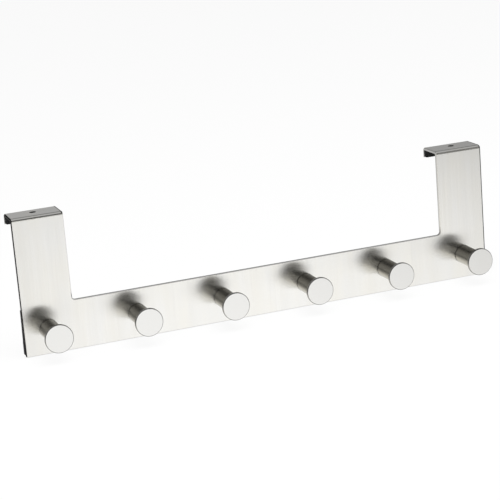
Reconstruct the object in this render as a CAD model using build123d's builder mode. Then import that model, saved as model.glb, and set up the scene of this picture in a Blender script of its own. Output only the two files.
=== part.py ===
"""Over door hook: a folded U-shaped sheet with six turned pegs, hung over the rebate of a door.

Frame: +Z up, X along the width, pegs towards -Y. The origin is midway between the two flange holes,
on the underside of the flanges, which is the face that sits on the top edge of the door.
"""

import os

from build123d import *

os.makedirs("parts", exist_ok=True)

# Folded sheet
plate_width = 390.0
plate_height = 108.0  # lower edge of the bar to the top of the flanges
bar_height = 39.0
arm_width = 40.0
sheet = 2.0
fold_radius = 0.6  # inside radius of both folds
door_gap = 20.0  # clear depth between the arm and the rear lip
lip_height = 8.0  # top of the flange to the end of the lip
inner_corner_radius = 2.5
outer_corner_radius = 0.8
edge_chamfer = 0.6  # deburred edge of the visible face
flange_hole_diameter = 5.0
hole_from_front = 13.0

# Turned pegs
peg_count = 6
peg_length = 30.0
peg_stem_diameter = 15.0
peg_head_diameter = 22.0
peg_head_thickness = 2.0
peg_rim_chamfer = 0.5  # front edge of the head
peg_base_chamfer = 0.4

# Pan head screws that hold the pegs from behind
screw_diameter = 4.0
screw_length = 12.0  # under the head
screw_head_diameter = 8.0
screw_head_height = 2.4
screw_head_chamfer = 1.0
screw_recess_width = 1.1
screw_recess_span = 4.4
screw_recess_depth = 1.3
hole_clearance = 0.3  # plate hole over the screw
thread_clearance = 0.05  # radial, between screw and tapped bore
bore_spare_depth = 2.0  # bore beyond the end of the screw

# Foam pads
bar_pad_thickness = 5.0
bar_pad_top_inset = 2.5
bar_pad_bottom_inset = 1.0
bar_pad_end_inset = 0.2
head_clearance = 1.0  # radial, pad hole around a screw head
lip_pad_thickness = 3.0
lip_pad_end_inset = 0.3
lip_pad_fold_clearance = 0.4  # below the inside of the fold

# Places that follow from the sizes above
front_y = -hole_from_front
back_y = front_y + sheet
lip_inner_y = back_y + door_gap
lip_outer_y = lip_inner_y + sheet
flange_top_z = sheet
bottom_z = flange_top_z - plate_height
bar_top_z = bottom_z + bar_height
lip_end_z = flange_top_z - lip_height
outer_fold_radius = fold_radius + sheet
arm_x = (plate_width - arm_width) / 2  # middle of the right arm
inner_x = plate_width / 2 - arm_width  # inner edge of the right arm
fold_start_z = flange_top_z - outer_fold_radius
arm_top_z = fold_start_z - sheet  # top of the flat sheet, below the fold
arm_signs = {"left": -1, "right": 1}

# The end pegs stand under the middles of the arms, and all pegs halfway up the bar
peg_pitch = 2 * arm_x / (peg_count - 1)
peg_xs = [-arm_x + peg_pitch * index for index in range(peg_count)]
peg_z = bottom_z + bar_height / 2
stem_radius = peg_stem_diameter / 2
head_radius = peg_head_diameter / 2
head_back = peg_head_thickness - peg_length  # along the turning plane, from the plate
plate_hole_radius = (screw_diameter + hole_clearance) / 2
bore_radius = screw_diameter / 2 + thread_clearance
bore_depth = screw_length - sheet + bore_spare_depth


def front_plane(x, y, z):
    """Plane across the pegs: local X along the width, local Y up, normal towards the viewer."""
    return Plane(origin=(x, y, z), x_dir=(1, 0, 0), z_dir=(0, -1, 0))


def turning_plane(x, y):
    """Plane through a peg's axis: local X is the radius, local Y points backwards."""
    return Plane(origin=(x, y, peg_z), x_dir=(1, 0, 0), z_dir=(0, 0, 1))


def peg_axis(x):
    """Axis of one peg and its screw."""
    return Axis((x, front_y, peg_z), (0, 1, 0))


# Back plate: the U-shaped front sheet, and an arm section folded twice at the top of each arm
with BuildPart() as back_plate:
    with BuildSketch(front_plane(0, back_y, 0)) as front_sheet:
        with BuildLine():
            Polyline(
                (-plate_width / 2, bottom_z),
                (plate_width / 2, bottom_z),
                (plate_width / 2, arm_top_z),
                (inner_x, arm_top_z),
                (inner_x, bar_top_z),
                (-inner_x, bar_top_z),
                (-inner_x, arm_top_z),
                (-plate_width / 2, arm_top_z),
                close=True,
            )
        make_face()
        fillet(front_sheet.vertices().group_by(Axis.Y)[0], outer_corner_radius)
        fillet(front_sheet.vertices().group_by(Axis.Y)[-2], inner_corner_radius)
    extrude(amount=sheet)

    for sign in arm_signs.values():
        section_plane = Plane(origin=(sign * arm_x - arm_width / 2, 0, 0), x_dir=(0, 1, 0), z_dir=(1, 0, 0))
        with BuildSketch(section_plane):
            with BuildLine():
                outside = FilletPolyline(
                    (front_y, arm_top_z),
                    (front_y, flange_top_z),
                    (lip_outer_y, flange_top_z),
                    (lip_outer_y, lip_end_z),
                    radius=outer_fold_radius,
                )
                inside = FilletPolyline(
                    (back_y, arm_top_z),
                    (back_y, 0),
                    (lip_inner_y, 0),
                    (lip_inner_y, lip_end_z),
                    radius=fold_radius,
                )
                Line(outside @ 0, inside @ 0)
                Line(outside @ 1, inside @ 1)
            make_face()
        extrude(amount=arm_width)

    with Locations(*[(sign * arm_x, 0, flange_top_z) for sign in arm_signs.values()]):
        Hole(flange_hole_diameter / 2, depth=sheet)
    with BuildSketch(front_plane(0, back_y, 0)):
        with Locations(*[(x, peg_z) for x in peg_xs]):
            Circle(plate_hole_radius)
    extrude(amount=sheet, mode=Mode.SUBTRACT)

    face_front = back_plate.faces().filter_by(Plane.XZ).sort_by(Axis.Y)[0]
    outline = face_front.outer_wire().edges()
    side_edges = [edge for edge in outline if edge.center().Z < fold_start_z - sheet]
    chamfer(side_edges, edge_chamfer)

back_plate.part.label = "back_plate"
export_step(back_plate.part, "parts/back_plate.step")

# Pegs: a straight stem with a flat disc head, and a tapped bore in the base
for number, x in enumerate(peg_xs, start=1):
    with BuildPart() as peg:
        with BuildSketch(turning_plane(x, front_y)):
            with BuildLine():
                Polyline(
                    (0, -peg_length),
                    (head_radius - peg_rim_chamfer, -peg_length),
                    (head_radius, peg_rim_chamfer - peg_length),
                    (head_radius, head_back),
                    (stem_radius, head_back),
                    (stem_radius, -peg_base_chamfer),
                    (stem_radius - peg_base_chamfer, 0),
                    (0, 0),
                    close=True,
                )
            make_face()
        revolve(axis=peg_axis(x))
        with BuildSketch(front_plane(x, front_y, peg_z)):
            Circle(bore_radius)
        extrude(amount=bore_depth, mode=Mode.SUBTRACT)
    peg.part.label = f"peg_{number}"
    export_step(peg.part, f"parts/peg_{number}.step")

# Screws: pan heads on the back of the plate, with a cross recess
for number, x in enumerate(peg_xs, start=1):
    with BuildPart() as peg_screw:
        with BuildSketch(turning_plane(x, back_y)):
            with BuildLine():
                Polyline(
                    (0, screw_head_height),
                    (screw_head_diameter / 2, screw_head_height),
                    (screw_head_diameter / 2, 0),
                    (screw_diameter / 2, 0),
                    (screw_diameter / 2, -screw_length),
                    (0, -screw_length),
                    close=True,
                )
            make_face()
        revolve(axis=peg_axis(x))
        circles = peg_screw.edges().filter_by(GeomType.CIRCLE).sort_by(Axis.Y)
        chamfer(circles[-1], screw_head_chamfer)
        with BuildSketch(front_plane(x, back_y + screw_head_height, peg_z)):
            Rectangle(screw_recess_span, screw_recess_width)
            Rectangle(screw_recess_width, screw_recess_span)
        extrude(amount=screw_recess_depth, mode=Mode.SUBTRACT)
    peg_screw.part.label = f"peg_screw_{number}"
    export_step(peg_screw.part, f"parts/peg_screw_{number}.step")

# Bar pad: a foam strip behind the bar, punched around the screw heads
bar_pad_top_z = bar_top_z - bar_pad_top_inset
bar_pad_bottom_z = bottom_z + bar_pad_bottom_inset
bar_pad_middle_z = (bar_pad_top_z + bar_pad_bottom_z) / 2
with BuildPart() as bar_pad:
    with BuildSketch(front_plane(0, back_y + bar_pad_thickness, 0)):
        with Locations((0, bar_pad_middle_z)):
            Rectangle(plate_width - 2 * bar_pad_end_inset, bar_pad_top_z - bar_pad_bottom_z)
        with Locations(*[(x, peg_z) for x in peg_xs]):
            Circle(screw_head_diameter / 2 + head_clearance, mode=Mode.SUBTRACT)
    extrude(amount=bar_pad_thickness)
bar_pad.part.label = "bar_pad"
export_step(bar_pad.part, "parts/bar_pad.step")

# Lip pads: foam strips on the inner faces of the rear lips
lip_pad_top_z = -fold_radius - lip_pad_fold_clearance
for side, sign in arm_signs.items():
    with BuildPart() as lip_pad:
        with BuildSketch(front_plane(sign * arm_x, lip_inner_y, (lip_pad_top_z + lip_end_z) / 2)):
            Rectangle(arm_width - 2 * lip_pad_end_inset, lip_pad_top_z - lip_end_z)
        extrude(amount=lip_pad_thickness)
    lip_pad.part.label = f"lip_pad_{side}"
    export_step(lip_pad.part, f"parts/lip_pad_{side}.step")
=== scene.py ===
import math

import bmesh
import bpy
from mathutils import Euler, Matrix, Vector, noise


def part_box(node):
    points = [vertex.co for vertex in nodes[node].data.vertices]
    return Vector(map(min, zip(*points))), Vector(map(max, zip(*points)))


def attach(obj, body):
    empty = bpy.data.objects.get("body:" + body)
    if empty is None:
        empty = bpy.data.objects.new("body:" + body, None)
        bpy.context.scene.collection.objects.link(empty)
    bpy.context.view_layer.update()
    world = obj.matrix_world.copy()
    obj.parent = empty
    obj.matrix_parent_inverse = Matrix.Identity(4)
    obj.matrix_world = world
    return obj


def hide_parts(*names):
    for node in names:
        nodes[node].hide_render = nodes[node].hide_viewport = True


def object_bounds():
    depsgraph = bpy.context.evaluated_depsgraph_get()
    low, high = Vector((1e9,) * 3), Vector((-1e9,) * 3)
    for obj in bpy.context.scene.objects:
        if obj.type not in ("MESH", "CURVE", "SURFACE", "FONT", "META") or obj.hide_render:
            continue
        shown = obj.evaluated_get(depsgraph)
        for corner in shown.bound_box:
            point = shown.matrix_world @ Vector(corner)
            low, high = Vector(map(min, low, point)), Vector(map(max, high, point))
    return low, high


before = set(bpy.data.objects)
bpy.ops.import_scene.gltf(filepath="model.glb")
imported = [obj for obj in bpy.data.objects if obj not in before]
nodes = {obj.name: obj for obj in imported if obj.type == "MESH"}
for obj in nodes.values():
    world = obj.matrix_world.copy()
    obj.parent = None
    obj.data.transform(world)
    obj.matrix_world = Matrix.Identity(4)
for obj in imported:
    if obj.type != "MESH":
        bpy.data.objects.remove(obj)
cad_low, cad_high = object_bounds()

MM = 0.001
DEGREE = math.pi / 180.0
WHITE = (1.0, 1.0, 1.0, 1.0)
BLACK = (0.0, 0.0, 0.0, 1.0)

# Sheet: places taken over from the solid, and the lines drawn on it
HOLE_X = 0.175  # middle of each arm and of its flange hole
HOLE_WALL_RADIUS = 2.6 * MM  # just outside the wall of a flange hole
FOLD_Z = -3.0 * MM  # the sheet is flat below this height
END_X = 0.1942  # the outer cut ends lie beyond this
BORDER_X = 0.1940  # the painted shade border of the front face starts here, on the right
FLANGE_LINE_X = 0.0187  # the painted shade line on a flange starts here, from the middle of its arm
CUT_FACING = 0.8  # least share of a normal along one axis, on a cut edge
CHAMFER_FACING = 0.6  # the same on a cut edge or a chamfer
HALF_FACING = 0.5  # the same on anything that faces mostly that way

# Pegs: places taken over from the solids
PEG_COUNT = 6
PEG_PITCH = 0.070
PEG_AXIS_Z = -0.0865
PEG_XS = [PEG_PITCH * (index - 2.5) for index in range(PEG_COUNT)]
PLATE_FRONT_Y = -0.013
HEAD_BACK_Y = -0.041
STEM_RADIUS = 0.0075
HEAD_FLAT_RADIUS = 0.0105
# Limits between the zones of a peg, each a little off the surface
BEHIND_HEAD_Y = HEAD_BACK_Y - 0.1 * MM
RIM_CHAMFER_Y = HEAD_BACK_Y - 1.4 * MM
BACK_RADIUS = HEAD_FLAT_RADIUS + 0.3 * MM
RIM_RADIUS = HEAD_FLAT_RADIUS + 0.02 * MM
STEM_SKIN_RADIUS = STEM_RADIUS + 0.2 * MM
CONTACT_SHADE_START_Y = PLATE_FRONT_Y - 1.1 * MM
CONTACT_SHADE_FULL_Y = PLATE_FRONT_Y - 0.7 * MM


# Node helpers
class Tree:
    """A short way to write a node tree."""

    def __init__(self, tree):
        self.tree = tree
        tree.nodes.clear()

    def add(self, kind, links=None, **settings):
        node = self.tree.nodes.new(kind)
        for key, value in settings.items():
            setattr(node, key, value)
        for socket, value in (links or {}).items():
            self.feed(node.inputs[socket], value)
        return node

    def feed(self, socket, value):
        if isinstance(value, bpy.types.NodeSocket):
            self.tree.links.new(value, socket)
        else:
            socket.default_value = value

    def math(self, operation, a, b=0.0):
        return self.add("ShaderNodeMath", {0: a, 1: b}, operation=operation).outputs[0]

    def above(self, value, limit):
        return self.math("GREATER_THAN", value, limit)

    def below(self, value, limit):
        return self.math("LESS_THAN", value, limit)

    def both(self, a, b):
        return self.math("MULTIPLY", a, b)

    def either(self, a, b):
        return self.math("MAXIMUM", a, b)

    def inverse(self, mask):
        return self.math("SUBTRACT", 1.0, mask)

    def geometry(self, name):
        return self.add("ShaderNodeNewGeometry").outputs[name]

    def split(self, vector):
        """The three parts of a vector."""
        outputs = self.add("ShaderNodeSeparateXYZ", {0: vector}).outputs
        return outputs["X"], outputs["Y"], outputs["Z"]

    def vector(self, x, y, z):
        return self.add("ShaderNodeCombineXYZ", {"X": x, "Y": y, "Z": z}).outputs[0]

    def length(self, vector):
        return self.add("ShaderNodeVectorMath", {0: vector}, operation="LENGTH").outputs["Value"]

    def product(self, a, b):
        """Two vectors or colours multiplied part by part."""
        return self.add("ShaderNodeVectorMath", {0: a, 1: b}, operation="MULTIPLY").outputs[0]

    def noise(self, vector, scales, detail=2.0):
        scaled = self.product(vector, scales)
        links = {"Vector": scaled, "Scale": 1.0, "Detail": detail, "Roughness": 0.5}
        return self.add("ShaderNodeTexNoise", links).outputs["Fac"]

    def span(self, value, from_low, from_high, to_low, to_high, smooth=False):
        """The value carried from one range to another, and held at its ends."""
        node = self.add(
            "ShaderNodeMapRange",
            {"Value": value, 1: from_low, 2: from_high, 3: to_low, 4: to_high},
            interpolation_type="SMOOTHSTEP" if smooth else "LINEAR",
        )
        return node.outputs["Result"]

    def vary(self, pattern, low, high):
        """A level that follows a noise pattern."""
        return self.span(pattern, 0.2, 0.8, low, high)

    def ramp(self, value, stops):
        node = self.add("ShaderNodeValToRGB", {"Fac": value})
        elements = node.color_ramp.elements
        while len(elements) > 1:
            elements.remove(elements[0])
        elements[0].position = stops[0][0]
        elements[0].color = (*stops[0][1], 1.0)
        for place, colour in stops[1:]:
            elements.new(place).color = (*colour, 1.0)
        return node.outputs["Color"]

    def blend(self, pattern, dark, light):
        """A colour that follows a noise pattern."""
        return self.ramp(pattern, [(0.30, dark), (0.70, light)])

    def mix(self, factor, a, b):
        """One colour mixed into another; sockets 6, 7 and 2 are the node's colour inputs and result."""
        node = self.add("ShaderNodeMix", {"Factor": factor}, data_type="RGBA")
        self.feed(node.inputs[6], a)
        self.feed(node.inputs[7], b)
        return node.outputs[2]

    def bump(self, height, strength, distance):
        links = {"Strength": strength, "Distance": distance, "Height": height}
        return self.add("ShaderNodeBump", links).outputs[0]

    def surface(self, shader):
        self.add("ShaderNodeOutputMaterial", {"Surface": shader.outputs[0]})


def new_material(name):
    material = bpy.data.materials.new(name)
    material.use_nodes = True
    return material, Tree(material.node_tree)


# Materials
def sheet_steel():
    """Brushed sheet: the grain runs up the front and over the folds, and spreads reflections along X."""
    material, t = new_material("brushed_sheet")
    x, y, z = t.split(t.geometry("Position"))
    grain = t.vector(x, t.math("ADD", y, z), 0.0)
    fine = t.noise(grain, (5200.0, 45.0, 1.0), detail=3.0)
    medium = t.noise(grain, (900.0, 9.0, 1.0))
    broad = t.noise(grain, (130.0, 4.0, 1.0))
    streak = t.math("ADD", t.math("MULTIPLY", medium, 0.5), t.math("MULTIPLY", broad, 0.5))
    warm = t.blend(streak, (0.909, 0.893, 0.845), (0.964, 0.950, 0.905))
    cool = t.blend(streak, (0.900, 0.893, 0.869), (0.955, 0.950, 0.931))
    drift = t.noise(grain, (70.0, 22.0, 1.0))
    colour = t.mix(t.span(drift, 0.30, 0.70, 0.0, 1.0), warm, cool)

    # Painted shade on the cut edges: the sides, and what faces up or down below the folds, without the
    # chamfer, are coloured darker than the face
    normal_x, normal_y, normal_z = t.split(t.geometry("True Normal"))
    sideways = t.math("ABSOLUTE", normal_x)
    upright = t.math("ABSOLUTE", normal_z)
    below_fold = t.below(z, FOLD_Z)
    side_shade_colour = t.blend(fine, (0.42, 0.415, 0.40), (0.56, 0.55, 0.53))
    colour = t.mix(t.above(sideways, CUT_FACING), colour, side_shade_colour)
    level_shade_colour = t.blend(fine, (0.080, 0.079, 0.077), (0.125, 0.123, 0.119))
    colour = t.mix(t.both(t.above(upright, CUT_FACING), below_fold), colour, level_shade_colour)

    # Painted shade: the outer cut ends are darkened, with a border on the right of the front face
    left_end = t.both(t.below(x, -END_X), t.below(normal_x, -CHAMFER_FACING))
    right_end = t.both(t.above(x, END_X), t.above(normal_x, CHAMFER_FACING))
    border = t.both(t.above(x, BORDER_X), t.below(normal_y, -HALF_FACING))
    # So is the right end of each flange, in a painted shade line along its top
    on_left_arm = t.below(x, 0.0)
    from_middle = t.math("SUBTRACT", x, HOLE_X)
    from_middle = t.math("ADD", from_middle, t.math("MULTIPLY", on_left_arm, 2.0 * HOLE_X))
    on_flange = t.both(t.above(normal_z, HALF_FACING), t.inverse(below_fold))
    flange_line = t.both(on_flange, t.above(from_middle, FLANGE_LINE_X))
    painted_edge_shade = t.either(t.either(left_end, right_end), t.either(border, flange_line))
    colour = t.mix(painted_edge_shade, colour, t.blend(fine, (0.035, 0.034, 0.033), (0.065, 0.064, 0.062)))
    # The painted edge shade also dulls the reflection at flat angles there
    edge_shade_tint = t.mix(painted_edge_shade, WHITE, (0.33, 0.33, 0.33, 1.0))

    # Punched walls of the two flange holes, darkened as painted shade inside the holes
    beside_hole = t.math("SUBTRACT", t.math("ABSOLUTE", x), HOLE_X)
    near_hole = t.below(t.length(t.vector(beside_hole, y, 0.0)), HOLE_WALL_RADIUS)
    wall = t.both(near_hole, t.inverse(t.above(upright, HALF_FACING)))
    colour = t.mix(wall, colour, t.blend(fine, (0.10, 0.10, 0.10), (0.17, 0.168, 0.165)))

    # The chamfer and the cut edges are smoother than the face
    on_edge = t.above(t.either(sideways, upright), CHAMFER_FACING)
    smooth = t.both(on_edge, t.either(t.above(sideways, CHAMFER_FACING), below_fold))
    rough = t.span(smooth, 0.0, 1.0, t.vary(fine, 0.20, 0.24), t.vary(fine, 0.08, 0.13))
    shader = t.add(
        "ShaderNodeBsdfPrincipled",
        {
            "Base Color": colour,
            "Metallic": 1.0,
            "Roughness": rough,
            "Specular Tint": edge_shade_tint,
            "Anisotropic": 0.85,
            "Tangent": t.vector(1.0, 0.02, 0.02),
            "Normal": t.bump(fine, 0.03, 0.05 * MM),
        },
    )
    t.surface(shader)
    return material


def turned_steel():
    """Turned pegs: a pale satin face and a smooth stem, with painted shade that darkens the rim, the stem
    and a ring at its foot.
    """
    material, t = new_material("turned_peg")
    x, depth, z = t.split(t.geometry("Position"))
    shifted = t.math("ADD", x, PEG_COUNT / 2 * PEG_PITCH)
    across = t.math("SUBTRACT", t.math("MODULO", shifted, PEG_PITCH), PEG_PITCH / 2)
    up = t.math("SUBTRACT", z, PEG_AXIS_Z)
    radius = t.length(t.vector(across, 0.0, up))
    rings = t.vector(t.math("ADD", radius, depth), across, up)
    fine = t.noise(rings, (6000.0, 60.0, 60.0))
    broad = t.noise(rings, (300.0, 90.0, 90.0))

    # Zones: behind the face, the back of the head, the rim of the head, and the chamfer of the rim
    behind = t.both(t.above(depth, BEHIND_HEAD_Y), t.below(radius, BACK_RADIUS))
    head_back = t.both(behind, t.above(radius, STEM_SKIN_RADIUS))
    rim = t.above(radius, RIM_RADIUS)
    chamfer = t.both(rim, t.below(depth, RIM_CHAMFER_Y))

    face_colour = t.blend(broad, (0.862, 0.857, 0.836), (0.902, 0.898, 0.880))
    # Painted shade: the stem, the rim and the rim's chamfer are darker than the face
    shaded_stem_colour = t.blend(fine, (0.425, 0.410, 0.370), (0.505, 0.490, 0.448))
    shaded_rim_colour = t.blend(fine, (0.50, 0.49, 0.47), (0.60, 0.59, 0.57))
    shaded_chamfer_colour = t.blend(fine, (0.20, 0.197, 0.187), (0.27, 0.266, 0.255))
    # Painted contact shadow: a dark ring where the stem meets the plate
    contact_shade = t.span(depth, CONTACT_SHADE_START_Y, CONTACT_SHADE_FULL_Y, 0.0, 1.0)
    contact_shade_colour = t.blend(fine, (0.085, 0.082, 0.073), (0.120, 0.116, 0.104))
    shaded_stem_colour = t.mix(contact_shade, shaded_stem_colour, contact_shade_colour)
    # Painted shade on the back of the head: dark above, paler towards the bottom
    height = t.math("ADD", t.span(up, -5.0 * MM, 6.0 * MM, 0.0, 1.0), t.vary(broad, -0.08, 0.08))
    back_shade_colour = t.ramp(height, [(0.15, (0.880, 0.872, 0.845)), (0.85, (0.110, 0.108, 0.100))])
    colour = t.mix(head_back, t.mix(behind, face_colour, shaded_stem_colour), back_shade_colour)
    colour = t.mix(rim, colour, shaded_rim_colour)
    colour = t.mix(chamfer, colour, shaded_chamfer_colour)
    shader = t.add(
        "ShaderNodeBsdfPrincipled",
        {
            "Base Color": colour,
            "Metallic": 1.0,
            "Roughness": t.span(behind, 0.0, 1.0, t.vary(broad, 0.22, 0.27), t.vary(fine, 0.08, 0.12)),
            "Normal": t.bump(fine, 0.03, 0.03 * MM),
        },
    )
    t.surface(shader)
    return material


def zinc():
    """Plated screws."""
    material, t = new_material("zinc_screw")
    speckle = t.noise(t.geometry("Position"), (900.0, 900.0, 900.0), detail=3.0)
    shader = t.add(
        "ShaderNodeBsdfPrincipled",
        {
            "Base Color": t.blend(speckle, (0.46, 0.46, 0.47), (0.62, 0.62, 0.61)),
            "Metallic": 1.0,
            "Roughness": t.vary(speckle, 0.28, 0.42),
        },
    )
    t.surface(shader)
    return material


def foam():
    """Closed-cell foam: black, dull, with small cells on the cut surface."""
    material, t = new_material("black_foam")
    place = t.geometry("Position")
    cells = t.add("ShaderNodeTexVoronoi", {"Vector": place, "Scale": 1500.0}).outputs["Distance"]
    cloud = t.noise(place, (140.0, 140.0, 140.0), detail=4.0)
    shade = t.math("ADD", t.math("MULTIPLY", cells, 0.5), t.math("MULTIPLY", cloud, 0.6))
    shader = t.add(
        "ShaderNodeBsdfPrincipled",
        {
            "Base Color": t.ramp(shade, [(0.25, (0.006, 0.006, 0.006)), (0.75, (0.022, 0.022, 0.023))]),
            "Roughness": t.vary(cloud, 0.82, 0.97),
            "Specular IOR Level": 0.25,
            "Normal": t.bump(cells, 0.5, 0.2 * MM),
        },
    )
    t.surface(shader)
    return material


SHEET = sheet_steel()
PEG = turned_steel()
SCREW = zinc()
FOAM = foam()


def dress(node, material):
    mesh = nodes[node].data
    mesh.materials.clear()
    mesh.materials.append(material)


dress("back_plate", SHEET)
for number in range(1, PEG_COUNT + 1):
    dress(f"peg_{number}", PEG)
    dress(f"peg_screw_{number}", SCREW)


# Foam pads
FOAM_CORNER_RADIUS = 0.8 * MM
CORNER_STEPS = 5
HOLE_STEPS = 40
SCREW_HOLE_RADIUS = 5.0 * MM
BAR_FOAM_VOXEL = 0.7 * MM
LIP_FOAM_VOXEL = 0.35 * MM
BAR_FOAM_SLANT = 0.7 * MM  # how far the lower left corner of the bar's foam is moved out
LIP_FOAM_RISE = 0.7 * MM  # how much taller the lips' foam is than its solid
# Uneven skin: waves per metre and their height in mm, and how far the skin is drawn in, in mm
BROAD_WAVE = (90.0, 0.10)
SMALL_WAVE = (420.0, 0.05)
DRAWN_IN = 0.12


def add_loop(curve, points):
    """Adds a closed loop of points to a flat curve."""
    spline = curve.splines.new("POLY")
    spline.points.add(len(points) - 1)
    for point, (x, y) in zip(spline.points, points):
        point.co = (x, y, 0.0, 1.0)
    spline.use_cyclic_u = True


def add_outline(curve, low, high, slant):
    """Adds a rectangle with rounded corners to a flat curve; slant moves its lower left corner out."""
    radius = FOAM_CORNER_RADIUS
    left, right = low[0] + radius, high[0] - radius
    bottom, top = low[1] + radius, high[1] - radius
    corners = [(right, top, 0.0), (left, top, 90.0), (left, bottom, 180.0), (right, bottom, 270.0)]
    points = []
    for x, y, start in corners:
        for step in range(CORNER_STEPS + 1):
            angle = math.radians(start + 90.0 * step / CORNER_STEPS)
            turned_y = y + radius * math.sin(angle)
            out = slant * (high[1] - turned_y) / (high[1] - low[1]) if x == left else 0.0
            points.append((x + radius * math.cos(angle) - out, turned_y))
    add_loop(curve, points)


def add_hole(curve, x, y, radius):
    turns = [math.tau * step / HOLE_STEPS for step in range(HOLE_STEPS)]
    add_loop(curve, [(x + radius * math.cos(a), y + radius * math.sin(a)) for a in turns])


def evaluated_mesh(item):
    """A new mesh of an object, with its curve filled and its modifiers applied."""
    return bpy.data.meshes.new_from_object(item.evaluated_get(bpy.context.evaluated_depsgraph_get()))


def foam_pad(name, node, voxel, holes=(), slant=0.0, rise=0.0):
    """A die-cut foam pad in the place of its solid: soft edges, a slightly uneven skin, punched holes."""
    low, high = (Vector(corner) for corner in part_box(node))
    curve = bpy.data.curves.new(name + "_outline", "CURVE")
    curve.dimensions = "2D"
    curve.fill_mode = "BOTH"
    add_outline(curve, (low.x, low.z), (high.x, high.z + rise), slant)
    for x, z in holes:
        add_hole(curve, x, z, SCREW_HOLE_RADIUS)
    curve.extrude = (high.y - low.y) / 2
    flat = bpy.data.objects.new(name + "_outline", curve)
    bpy.context.collection.objects.link(flat)
    mesh = evaluated_mesh(flat)
    bpy.data.objects.remove(flat)
    # The curve lies in its own XY plane: stand it up so that its Z becomes depth
    middle = (low.y + high.y) / 2
    mesh.transform(Matrix(((1, 0, 0, 0), (0, 0, -1, middle), (0, 1, 0, 0), (0, 0, 0, 1))))
    bm = bmesh.new()
    bm.from_mesh(mesh)
    bmesh.ops.remove_doubles(bm, verts=bm.verts, dist=1e-6)
    bmesh.ops.recalc_face_normals(bm, faces=bm.faces)
    bm.to_mesh(mesh)
    bm.free()
    piece = bpy.data.objects.new(name, mesh)
    bpy.context.collection.objects.link(piece)
    remesh = piece.modifiers.new("skin", "REMESH")
    remesh.mode = "VOXEL"
    remesh.voxel_size = voxel
    soften = piece.modifiers.new("soft", "SMOOTH")
    soften.factor = 0.5
    soften.iterations = 2
    skin = evaluated_mesh(piece)
    piece.modifiers.clear()
    piece.data = skin
    bpy.data.meshes.remove(mesh)
    skin.name = name
    # The skin is uneven on the free side, and flat on the glued side: the bar's pad is glued at its front
    places = [vertex.co.copy() for vertex in skin.vertices]
    normals = [vertex.normal.copy() for vertex in skin.vertices]
    for vertex, place, normal in zip(skin.vertices, places, normals):
        depth = (place.y - low.y) / (high.y - low.y)
        free = min(1.0, max(0.0, depth * 2.0 if node == "bar_pad" else (1.0 - depth) * 2.0))
        wave = sum(noise.noise(place * rate) * height for rate, height in (BROAD_WAVE, SMALL_WAVE))
        vertex.co = place + normal * (wave - DRAWN_IN) * MM * free
    for polygon in skin.polygons:
        polygon.use_smooth = True
    skin.materials.append(FOAM)
    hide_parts(node)
    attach(piece, "root")


screw_places = [(x, PEG_AXIS_Z) for x in PEG_XS]
foam_pad("bar_foam", "bar_pad", BAR_FOAM_VOXEL, holes=screw_places, slant=BAR_FOAM_SLANT)
foam_pad("lip_foam_left", "lip_pad_left", LIP_FOAM_VOXEL, rise=LIP_FOAM_RISE)
foam_pad("lip_foam_right", "lip_pad_right", LIP_FOAM_VOXEL, rise=LIP_FOAM_RISE)

# Studio
FLOOR_Z = cad_low[2] - 0.4 * MM
FLOOR_SIZE = 16.0
FLOOR_COLOUR = (0.95, 0.95, 0.95, 1.0)
FLOOR_WHITE = 0.90  # share of plain white in the floor that the camera sees
AMBIENT = 0.45
LAMP_AIM = (0.0, 0.0, -0.05)


def background_rays(t):
    """1 for the rays that show the background: from the camera, from a reflection or through glass."""
    path = t.add("ShaderNodeLightPath").outputs
    mirrored = t.either(path["Is Glossy Ray"], path["Is Transmission Ray"])
    return t.either(path["Is Camera Ray"], mirrored)


def floor_material():
    """White floor that keeps a soft shadow of the object."""
    material, t = new_material("floor")
    diffuse = t.add("ShaderNodeBsdfDiffuse", {"Color": FLOOR_COLOUR})
    plain = t.add("ShaderNodeEmission", {"Color": WHITE, "Strength": 1.0})
    pale = t.add("ShaderNodeMixShader", {0: FLOOR_WHITE, 1: diffuse.outputs[0], 2: plain.outputs[0]})
    shown = background_rays(t)
    t.surface(t.add("ShaderNodeMixShader", {0: shown, 1: diffuse.outputs[0], 2: pale.outputs[0]}))
    return material


def studio_floor():
    mesh = bpy.data.meshes.new("floor")
    bm = bmesh.new()
    bmesh.ops.create_grid(bm, x_segments=1, y_segments=1, size=0.5)
    bmesh.ops.scale(bm, vec=(FLOOR_SIZE, FLOOR_SIZE, 1.0), verts=bm.verts)
    bmesh.ops.translate(bm, vec=(0.0, 0.0, FLOOR_Z), verts=bm.verts)
    bm.to_mesh(mesh)
    bm.free()
    mesh.materials.append(floor_material())
    plane = bpy.data.objects.new("floor", mesh)
    bpy.context.collection.objects.link(plane)
    plane.visible_glossy = False


# What the metal reflects: stops of an angle in degrees and a level
# Over the top, from the front horizon to the back horizon
OVERHEAD = [
    (0, 0.05), (48, 0.05), (56, 0.50), (100, 0.50), (112, 0.22), (150, 0.22), (160, 0.38), (180, 0.42),
]
# Two cards in front with a dark gap between them, by the turn to the right from straight ahead
FRONT_CARDS = [
    (-70, 0.50), (-50, 0.50), (-40, 0.27), (-24, 0.34), (-16, 0.32), (-11, 0.06), (-7, 0.01), (5, 0.01),
    (9, 0.06), (13, 0.11), (22, 0.12), (27, 0.21), (40, 0.16), (50, 0.45), (70, 0.50),
]
# Below the horizon, by the angle down: to the left in front, to the right in front, and behind
BELOW_LEFT = [
    (0, 0.24), (4, 0.13), (8, 0.20), (12, 0.36), (16, 0.52), (20, 0.76), (25, 0.95), (30, 1.0), (90, 0.9),
]
BELOW_RIGHT = [
    (0, 0.10), (5, 0.12), (8, 0.44), (12, 0.99), (15, 1.13), (20, 1.12), (30, 1.0), (90, 0.9),
]
BELOW_BACK = [(0, 0.42), (8, 0.60), (16, 0.72), (90, 0.75)]
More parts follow.
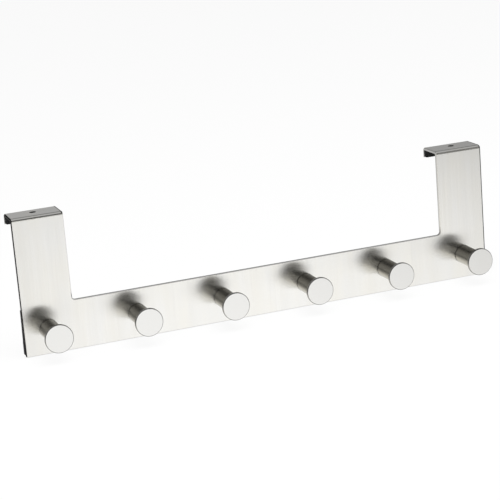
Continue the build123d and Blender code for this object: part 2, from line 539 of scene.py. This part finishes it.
# Share of the level below the horizon, by the turn, and the same far below the horizon
ROUND_ABOUT = [
    (-180, 0.9), (-165, 1.1), (-158, 1.25), (-145, 1.2), (-112, 0.9), (-80, 1.0), (-72, 1.3), (-58, 1.4),
    (-46, 1.0), (78, 1.0), (95, 1.2), (104, 1.2), (109, 0.25), (120, 0.25), (127, 0.95), (180, 0.9),
]
ROUND_FAR_BELOW = [(-180, 1.0), (-112, 1.0), (-96, 1.9), (-50, 1.9), (-36, 1.0), (180, 1.0)]
WARM = (1.0, 0.985, 0.94)  # tint of the cards, and of the floor on the left
BEHIND_RIGHT = 0.87  # share of the level overhead, to the right and behind
RIGHT_REST = 0.25  # share of the floor's right side that is left far to the right
AHEAD_GLOW = 0.94  # level of a soft light straight in front
RING_DEPTH = 0.75  # how much darker it is around that light, on the left
# Angles in degrees between which one level passes into another
BEHIND_RIGHT_ENDS = (150.0, 168.0)
FRONT_ENDS = (48.0, 95.0)
CARDS_TOP = (33.0, 40.0)
RIGHT_STARTS = (-12.0, 11.0)
RIGHT_ENDS = (17.0, 43.5)
FAR_BELOW_ENDS = (-45.0, -30.0)
RING_LEFT_ENDS = (-6.0, 2.0)
RING_EDGE = (22.0, 26.0)
GLOW_EDGE = (10.0, 17.0)
SURROUND_RADIUS = 3.0


def surround_material():
    """Studio that only reflections see: a pale floor, and cards in front and overhead."""
    material, t = new_material("studio_surround")
    x, y, z = t.split(t.geometry("Position"))
    ahead = t.math("MULTIPLY", y, -1.0)
    turn = t.math("DIVIDE", t.math("ARCTAN2", x, ahead), DEGREE)
    rise = t.math("ARCSINE", t.math("DIVIDE", z, SURROUND_RADIUS))
    rise = t.math("DIVIDE", rise, DEGREE)
    off_axis = t.math("ARCCOSINE", t.math("DIVIDE", ahead, SURROUND_RADIUS))
    off_axis = t.math("DIVIDE", off_axis, DEGREE)
    # Angles as shares of their range, for the stops above
    over_share = t.math("DIVIDE", t.math("ARCTAN2", z, ahead), math.pi)
    down_share = t.math("DIVIDE", rise, -90.0)
    front_share = t.span(turn, -90.0, 90.0, 0.0, 1.0)
    turn_share = t.span(turn, -180.0, 180.0, 0.0, 1.0)

    def levels(share, stops, low, high, tint=(1.0, 1.0, 1.0)):
        places = [(angle - low) / (high - low) for angle, level in stops]
        colours = [tuple(level * part for part in tint) for angle, level in stops]
        return t.ramp(share, list(zip(places, colours)))

    def passing(angle, limits, before, after):
        return t.span(angle, *limits, before, after, smooth=True)

    upper = levels(over_share, OVERHEAD, 0.0, 180.0)
    dimmed = t.span(turn, *BEHIND_RIGHT_ENDS, BEHIND_RIGHT, 1.0)
    upper = t.add("ShaderNodeVectorMath", {0: upper, "Scale": dimmed}, operation="SCALE").outputs[0]
    cards = levels(front_share, FRONT_CARDS, -90.0, 90.0, WARM)
    behind = passing(t.math("ABSOLUTE", turn), FRONT_ENDS, 0.0, 1.0)
    on_card = t.both(passing(rise, CARDS_TOP, 1.0, 0.0), t.inverse(behind))
    upper = t.mix(on_card, upper, cards)

    left = levels(down_share, BELOW_LEFT, 0.0, 90.0, WARM)
    right = levels(down_share, BELOW_RIGHT, 0.0, 90.0)
    back = levels(down_share, BELOW_BACK, 0.0, 90.0)
    to_right = t.both(passing(turn, RIGHT_STARTS, 0.0, 1.0), passing(turn, RIGHT_ENDS, 1.0, RIGHT_REST))
    lower = t.mix(behind, t.mix(to_right, left, right), back)
    around = levels(turn_share, ROUND_ABOUT, -180.0, 180.0)
    far_below = levels(turn_share, ROUND_FAR_BELOW, -180.0, 180.0)
    lower = t.product(lower, t.mix(passing(rise, FAR_BELOW_ENDS, 0.0, 1.0), far_below, around))

    shown = t.mix(t.below(z, 0.0), upper, lower)
    leftward = passing(turn, RING_LEFT_ENDS, 1.0, 0.0)
    dark_ring = t.both(leftward, passing(off_axis, RING_EDGE, RING_DEPTH, 0.0))
    shown = t.mix(dark_ring, shown, BLACK)
    glow_colour = (AHEAD_GLOW, AHEAD_GLOW, 0.97 * AHEAD_GLOW, 1.0)
    shown = t.mix(passing(off_axis, GLOW_EDGE, 1.0, 0.0), shown, glow_colour)
    t.surface(t.add("ShaderNodeEmission", {"Color": shown, "Strength": 1.0}))
    return material


def studio_surround():
    mesh = bpy.data.meshes.new("studio_surround")
    bm = bmesh.new()
    bmesh.ops.create_icosphere(bm, subdivisions=5, radius=SURROUND_RADIUS)
    bm.to_mesh(mesh)
    bm.free()
    mesh.materials.append(surround_material())
    surround = bpy.data.objects.new("studio_surround", mesh)
    bpy.context.collection.objects.link(surround)
    surround.visible_camera = False
    surround.visible_diffuse = False
    surround.visible_transmission = False
    surround.visible_volume_scatter = False
    surround.visible_shadow = False


def soft_lamp(name, place, width, height, watts):
    """A softbox for the diffuse surfaces; the surround gives the metal its reflections."""
    lamp = bpy.data.lights.new(name, "AREA")
    lamp.shape = "RECTANGLE"
    lamp.size = width
    lamp.size_y = height
    lamp.energy = watts
    box = bpy.data.objects.new(name, lamp)
    box.location = place
    box.rotation_euler = (Vector(LAMP_AIM) - Vector(place)).to_track_quat("-Z", "Y").to_euler()
    box.visible_glossy = False
    bpy.context.collection.objects.link(box)


def studio_world():
    """White where it is seen or mirrored, and a low even light on everything else."""
    world = bpy.data.worlds.new("studio_world")
    bpy.context.scene.world = world
    world.use_nodes = True
    t = Tree(world.node_tree)
    plain = t.add("ShaderNodeBackground", {"Color": WHITE, "Strength": 1.0})
    ambient = t.add("ShaderNodeBackground", {"Color": WHITE, "Strength": AMBIENT})
    shown = background_rays(t)
    mixed = t.add("ShaderNodeMixShader", {0: shown, 1: ambient.outputs[0], 2: plain.outputs[0]})
    t.add("ShaderNodeOutputWorld", {"Surface": mixed.outputs[0]})


studio_floor()
studio_surround()
soft_lamp("overhead_softbox", (0.1, -0.5, 1.5), width=1.6, height=1.2, watts=22.0)
soft_lamp("fill_softbox", (-1.2, -1.4, 0.7), width=1.0, height=1.0, watts=10.0)
studio_world()

# Camera, fitted to the corners of the plate and to the pegs
CAMERA_SENSOR = 36.0
CAMERA_LENS = 125.605
CAMERA_PLACE = (-0.447444, -1.257414, 0.292106)
CAMERA_TURNS = (75.32325, 4.56198, -20.57198)  # degrees about X, Y and Z

camera_data = bpy.data.cameras.new("camera")
camera_data.sensor_width = CAMERA_SENSOR
camera_data.lens = CAMERA_LENS
camera = bpy.data.objects.new("camera", camera_data)
camera.location = CAMERA_PLACE
camera.rotation_euler = Euler([math.radians(angle) for angle in CAMERA_TURNS], "XYZ")
bpy.context.collection.objects.link(camera)
bpy.context.scene.camera = camera

bpy.context.scene.view_settings.view_transform = "Standard"
